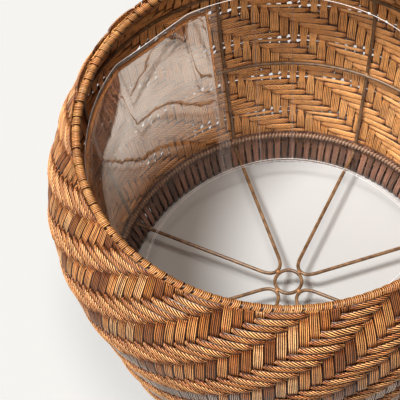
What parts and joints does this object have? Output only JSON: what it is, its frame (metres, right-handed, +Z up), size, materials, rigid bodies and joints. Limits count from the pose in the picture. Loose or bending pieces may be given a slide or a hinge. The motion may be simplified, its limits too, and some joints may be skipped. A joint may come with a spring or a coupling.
{
  "type": "woven lamp shade",
  "caption": "Large twill-woven rattan lamp shade, bellied and tapering, on a wire frame with a spider and fitter ring and a clear film liner that lifts out.",
  "frame": {"origin": "centre of the small end, on the surface that the shade stands on", "axes": "+Z up along the axis of the shade, towards the wide mouth; +Y away from the viewer of the picture, +X to its right"},
  "size_m": [0.771, 0.771, 0.5378],
  "materials": {
    "rattan": "matte",
    "bronzed_wire": "satin",
    "braze_metal": "satin",
    "clear_film": "gloss",
    "clear_tape": "gloss"
  },
  "bodies": {
    "shade": {"woven_wall": "rattan", "rim_border": "rattan", "foot_border": "rattan", "lower_ring_wrap": "rattan", "rim_hoop": "bronzed_wire", "foot_hoop": "bronzed_wire", "fitter_ring": "bronzed_wire", "rib_wire_back_right": "bronzed_wire", "rib_wire_back_left": "bronzed_wire", "rib_wire_front_left": "bronzed_wire", "rib_wire_front_right": "bronzed_wire", "upper_ring_wire": "bronzed_wire", "middle_ring_wire": "bronzed_wire", "lower_ring_wire": "bronzed_wire", "fitter_braze_back_right": "braze_metal", "fitter_braze_back_left": "braze_metal", "fitter_braze_front_left": "braze_metal", "fitter_braze_front_right": "braze_metal", "upper_ring_brazes": "braze_metal", "middle_ring_brazes": "braze_metal", "lower_ring_brazes": "braze_metal"},
    "liner": {"film_liner": "clear_film", "liner_seam_tape": "clear_tape"}
  },
  "joints": [
    {"name": "liner_lift", "type": "slide", "parent": "shade", "child": "liner", "axis": [0, 0, 1], "range_m": [0, 0.5]}
  ]
}
